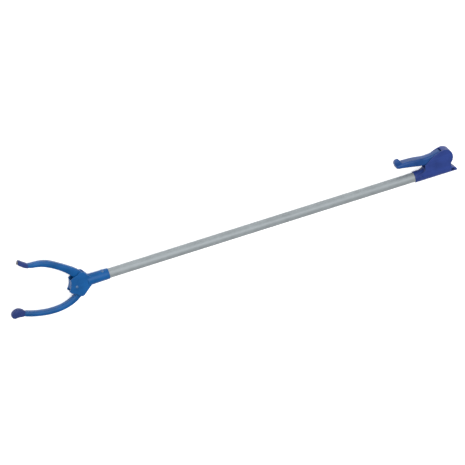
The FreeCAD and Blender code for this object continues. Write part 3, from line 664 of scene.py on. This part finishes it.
# ---------------------------------------------------------------- jaw head
class REACHER_OT_head(bpy.types.Operator):
    """Two moulded plates with their collar, joined by rivets"""

    bl_idname = "reacher.head"
    bl_label = "Jaw head"

    def execute(self, context):
        colours = context.scene.reacher_colours
        blue = moulded_plastic("head_plastic", colours.head, 0.34, 0.46, 0.00007, 0.55)
        for end in ("near", "far"):
            moulding(f"head_moulding_{end}", f"head_plate_{end}", blue, "head_blue")

        rivet = worked_metal("rivet_enamel", colours.rivet, 0.2, 0.34, 0.48,
                             (300.0, 300.0, 300.0), 0.00002)
        for name, node, place, seat, radius, lean in (
            ("hub_rivet_heads", "hub_rivet", HUB_RIVET, 8.25, 2.4, 0.0),
            ("collar_rivet_heads", "collar_rivet", COLLAR_RIVET, 8.9, 2.2, COLLAR_LEAN),
        ):
            cage = bmesh.new()
            for side in (0.0, math.pi):
                flip = Matrix.Rotation(math.copysign(lean, side - 1) + side, 4, "X")
                profile = [(0.0, seat + 0.74), (radius * 0.35, seat + 0.70),
                           (radius * 0.68, seat + 0.52), (radius * 0.90, seat + 0.26),
                           (radius * 0.99, seat + 0.06), (radius, seat - 0.02),
                           (1.6, seat - 0.02), (1.6, 6.2), (0.0, 6.2)]
                add_turned(cage, profile, spot(*place), flip)
            finish_piece(name, mesh_of(cage), rivet, "frame", "rivet", node)
        pins = worked_metal("pin_steel", colours.steel, 0.95, 0.26, 0.38,
                            (400.0, 400.0, 400.0), 0.00001)
        dress("finger_pivot_pins", pins)
        dress("drive_pins", pins)
        dress("drive_yoke", worked_metal("cast_zinc", colours.steel, 0.8, 0.42, 0.56,
                                         (220.0, 220.0, 220.0), 0.00006))
        return {"FINISHED"}


# ---------------------------------------------------------------- fingers
class REACHER_OT_fingers(bpy.types.Operator):
    """Two curved fingers with a sunken web between rims, a boss and a driven fork"""

    bl_idname = "reacher.fingers"
    bl_label = "Fingers"

    def execute(self, context):
        sizes = context.scene.reacher_sizes
        colours = context.scene.reacher_colours
        blue = moulded_plastic("finger_plastic", colours.head, 0.32, 0.44, 0.00007, 0.6)
        web = -sizes.web_depth / MM
        upper = [
            ((-1.0, 8.4), (8.8, 15.4), 4.6, 0), ((-1.4, 8.7), (8.5, 15.9), 5.0, 0),
            ((-5.6, 10.3), (4.2, 21.1), 5.0, 0), ((-11.0, 13.7), (-3.8, 26.1), 5.0, web * 0.5),
            ((-20.3, 20.2), (-14.8, 31.3), 5.0, web), ((-31.2, 26.2), (-28.4, 36.9), 5.0, web),
            ((-43.5, 31.3), (-41.4, 42.1), 5.0, web), ((-55.0, 34.9), (-54.0, 45.6), 5.0, web),
            ((-65.5, 36.7), (-65.4, 45.8), 5.0, web),
            ((-75.6, 36.4), (-75.6, 44.3), 5.0, web * 0.7),
            ((-82.0, 35.9), (-82.4, 43.6), 4.9, 0), ((-86.2, 37.6), (-87.4, 43.2), 4.4, 0),
            ((-97.6, 42.8), (-96.2, 46.4), 4.0, 0), ((-98.2, 43.0), (-96.8, 46.6), 3.6, 0),
        ]
        lower = [
            ((-1.2, -10.0), (8.8, -15.4), 4.6, 0), ((-1.6, -10.6), (8.6, -16.0), 5.0, 0),
            ((-3.6, -15.6), (5.2, -20.8), 5.0, 0), ((-7.2, -20.4), (0.4, -26.8), 5.0, web * 0.5),
            ((-14.0, -26.4), (-8.6, -34.5), 5.0, web), ((-25.2, -33.0), (-21.0, -41.0), 5.0, web),
            ((-37.0, -36.7), (-35.2, -45.6), 5.0, web), ((-50.0, -39.1), (-49.4, -47.8), 5.0, web),
            ((-63.0, -39.9), (-63.0, -48.5), 5.0, web), ((-76.0, -39.4), (-76.4, -48.0), 5.0, web),
            ((-86.0, -37.9), (-87.6, -46.7), 5.0, web * 0.5),
            ((-91.0, -37.9), (-94.2, -45.0), 4.6, 0),
            ((-105.6, -39.0), (-106.0, -43.4), 4.2, 0), ((-106.8, -39.2), (-107.0, -43.2), 3.8, 0),
        ]
        for name, node, body, stations, pivot, side in (
            ("upper_finger", "finger_upper", "upper_jaw", upper, UPPER_PIVOT, 1),
            ("lower_finger", "finger_lower", "lower_jaw", lower, LOWER_PIVOT, -1),
        ):
            cage = bmesh.new()
            bar(cage, stations, sizes.finger_round / MM, sizes.rim_width / MM, head)
            centre = head(*pivot)
            add_turned(cage, [(0.0, 5.0), (5.2, 5.0), (5.6, 4.9), (5.8, 4.5), (5.8, -4.5),
                              (5.6, -4.9), (5.2, -5.0), (0.0, -5.0)], spot(*centre), steps=24)
            drive = Vector((-STROKE / 2, -side * DRIVE_ARM)).normalized()
            beside = Vector((-drive.y, drive.x))
            for prong in (-2.3, 2.3):
                near = centre + drive * 3.0
                far = centre + drive * 11.1
                rows = []
                for start, half in ((near, 2.5), (far - drive * 0.6, 2.5), (far, 2.2)):
                    across = beside * 0.6
                    rows.append(bar_ring(start + beside * prong - across,
                                         start + beside * prong + across, half, 0.3, 0.35, 0))
                loft(cage, rows)
            piece = finish_piece(name, mesh_of(cage), blue, body, "head_blue", node)
            subdivide(piece, 2)
        return {"FINISHED"}


class REACHER_OT_tips(bpy.types.Operator):
    """Soft sleeve with its magnet on the upper finger, ringed pad on the lower one"""

    bl_idname = "reacher.tips"
    bl_label = "Finger tips"

    def execute(self, context):
        sizes = context.scene.reacher_sizes
        colours = context.scene.reacher_colours
        soft = moulded_plastic("soft_tip", colours.pad, 0.50, 0.64, 0.00012, 0.35)
        rounding = sizes.pad_round / MM

        cage = bmesh.new()
        bar(cage, [
            ((-84.2, 36.2), (-86.4, 44.1), 5.0, 0), ((-85.0, 36.2), (-87.2, 44.5), 5.5, 0),
            ((-89.6, 37.0), (-91.0, 46.0), 5.5, 0), ((-94.2, 38.7), (-94.8, 47.9), 5.5, 0),
            ((-98.4, 40.9), (-97.8, 49.8), 5.5, -0.2), ((-101.6, 42.7), (-100.8, 50.6), 5.2, 0),
            ((-102.9, 43.9), (-102.3, 50.2), 4.4, 0), ((-102.9, 44.6), (-102.4, 49.7), 3.6, 0),
            ((-101.6, 44.6), (-101.1, 49.1), 3.3, 0),
        ], rounding, 2.4, head)
        piece = finish_piece("upper_tip_sleeve", mesh_of(cage), soft, "upper_jaw", "soft_pad",
                             "tip_pad_upper")
        subdivide(piece, 2)

        cage = bmesh.new()
        bar(cage, [
            ((-89.6, -37.4), (-92.6, -46.0), 5.0, 0), ((-90.4, -37.0), (-93.6, -46.3), 5.6, 0),
            ((-95.0, -33.8), (-97.0, -46.3), 5.8, 0), ((-100.4, -32.6), (-101.6, -46.5), 5.8, 0),
            ((-105.4, -33.6), (-105.2, -48.1), 5.8, 0), ((-109.2, -36.2), (-108.6, -48.5), 5.6, 0),
            ((-111.6, -38.9), (-111.2, -47.4), 5.0, 0), ((-112.8, -40.9), (-112.6, -45.2), 4.0, 0),
        ], rounding, 2.6, head)
        for side in (0.0, math.pi):
            flip = Matrix.Rotation(side, 4, "X")
            ring = [(3.2, 4.6), (3.3, 6.2), (3.6, 6.8), (4.2, 6.9), (4.8, 6.8), (5.1, 6.2),
                    (5.3, 4.6), (3.2, 4.6)]
            add_turned(cage, ring[::-1], spot(*head(-103.0, -40.6)), flip, steps=24)
        piece = finish_piece("lower_tip_pad", mesh_of(cage), soft, "lower_jaw", "soft_pad",
                             "tip_pad_lower")
        subdivide(piece, 2)

        dress("tip_magnet", worked_metal("ferrite", colours.magnet, 0.35, 0.45, 0.62,
                                         (500.0, 500.0, 500.0), 0.00004))
        return {"FINISHED"}


# ---------------------------------------------------------------- handle
class REACHER_OT_handle(bpy.types.Operator):
    """Two moulded handle shells with their screws and pegs"""

    bl_idname = "reacher.handle"
    bl_label = "Handle"

    def execute(self, context):
        colours = context.scene.reacher_colours
        blue = moulded_plastic("handle_plastic", colours.handle, 0.34, 0.48, 0.00008, 0.5)
        for end in ("near", "far"):
            moulding(f"handle_moulding_{end}", f"handle_shell_{end}", blue, "handle_blue")
        dress("trigger_pivot_pin", blue)
        dress("shaft_lock_pin", blue)
        dark = [part * 0.35 for part in colours.steel]
        dress("handle_screws", worked_metal("blackened_screws", dark, 0.8, 0.35, 0.5,
                                            (400.0, 400.0, 400.0), 0.00002))
        return {"FINISHED"}


class REACHER_OT_trigger(bpy.types.Operator):
    """Squeezed lever with a rounded grip and an upturned lip, and its link to the rod"""

    bl_idname = "reacher.trigger"
    bl_label = "Trigger"

    def execute(self, context):
        sizes = context.scene.reacher_sizes
        colours = context.scene.reacher_colours
        blue = moulded_plastic("trigger_plastic", colours.lever, 0.30, 0.42, 0.00007, 0.6)
        cage = bmesh.new()
        bar(cage, [
            ((554.9, 26.8), (554.8, 29.4), 7.4, 0), ((555.3, 25.7), (556.4, 31.0), 8.8, 0),
            ((557.2, 24.9), (560.0, 32.2), 9.2, 0), ((564.8, 23.8), (567.5, 32.6), 9.2, 0),
            ((575.2, 22.0), (577.2, 32.5), 9.2, -0.2), ((585.6, 20.0), (587.6, 31.7), 9.1, -0.2),
            ((592.6, 18.5), (594.0, 30.9), 8.8, 0), ((598.0, 17.4), (598.6, 30.2), 8.2, 0),
            ((601.4, 16.7), (601.8, 29.8), 7.6, 0), ((608.0, 15.4), (608.4, 29.6), 7.6, 0),
            ((615.0, 13.8), (614.8, 30.1), 7.6, 0), ((621.5, 11.6), (621.1, 31.1), 7.6, 0),
            ((627.0, 9.8), (626.8, 32.4), 7.6, 0), ((631.4, 9.0), (631.6, 33.1), 7.5, 0),
            ((632.2, 9.0), (632.4, 32.9), 7.1, 0),
        ], sizes.grip_round / MM, 3.2)
        bar(cage, [
            ((556.6, 29.0), (566.4, 29.4), 5.4, 0), ((555.0, 30.0), (567.4, 31.4), 5.5, 0),
            ((553.4, 31.8), (565.8, 33.8), 5.5, 0), ((553.4, 34.4), (564.3, 35.8), 5.5, 0),
            ((555.0, 37.0), (563.2, 37.8), 5.2, 0), ((557.4, 38.9), (561.9, 39.2), 4.2, 0),
        ], sizes.pad_round / MM, 2.4)
        add_turned(cage, [(0.0, 7.6), (10.2, 7.6), (10.9, 7.5), (11.3, 7.0), (11.3, -7.0),
                          (10.9, -7.5), (10.2, -7.6), (0.0, -7.6)], spot(*TRIGGER_PIVOT), steps=32)
        reach = Vector((-STROKE / 2, -TRIGGER_PIVOT[1]))
        arm = reach.normalized()
        across = Vector((-arm.y, arm.x)) * 3.6
        centre = Vector(TRIGGER_PIVOT)
        rows = []
        for along, half in ((6.0, 2.5), (20.6, 2.5), (22.0, 2.5), (22.5, 2.2)):
            place = centre + arm * along
            rows.append(bar_ring(place - across, place + across, half, 0.4, 0.6, 0))
        loft(cage, rows)
        piece = finish_piece("trigger_moulding", mesh_of(cage), blue, "trigger", "lever_blue",
                             "trigger_lever")
        subdivide(piece, 2)
        zinc = bpy.data.materials["cast_zinc"]
        dress("rod_clevis", zinc)
        dress("clevis_pin", bpy.data.materials["pin_steel"])
        return {"FINISHED"}


# ---------------------------------------------------------------- panel
class REACHER_PT_panel(bpy.types.Panel):
    """Lists the pieces of the reacher grabber with their sizes and colours"""

    bl_idname = "REACHER_PT_panel"
    bl_label = "Reacher Grabber"
    bl_space_type = "VIEW_3D"
    bl_region_type = "UI"
    bl_category = "Reacher"

    def draw(self, context):
        layout = self.layout
        for operator in OPERATORS:
            layout.operator(operator.bl_idname)
        for group in (context.scene.reacher_sizes, context.scene.reacher_colours):
            box = layout.box()
            for key in group.__annotations__:
                box.prop(group, key)


OPERATORS = (
    REACHER_OT_stage,
    REACHER_OT_shaft,
    REACHER_OT_head,
    REACHER_OT_fingers,
    REACHER_OT_tips,
    REACHER_OT_handle,
    REACHER_OT_trigger,
)
CLASSES = (ReacherSizes, ReacherColours, *OPERATORS, REACHER_PT_panel)


def register():
    for part in CLASSES:
        bpy.utils.register_class(part)
    bpy.types.Scene.reacher_sizes = bpy.props.PointerProperty(type=ReacherSizes)
    bpy.types.Scene.reacher_colours = bpy.props.PointerProperty(type=ReacherColours)


def unregister():
    del bpy.types.Scene.reacher_colours
    del bpy.types.Scene.reacher_sizes
    for part in reversed(CLASSES):
        bpy.utils.unregister_class(part)


def main():
    register()
    bpy.ops.reacher.stage()
    bpy.ops.reacher.shaft()
    bpy.ops.reacher.head()
    bpy.ops.reacher.fingers()
    bpy.ops.reacher.tips()
    bpy.ops.reacher.handle()
    bpy.ops.reacher.trigger()


if __name__ == "__main__":
    main()
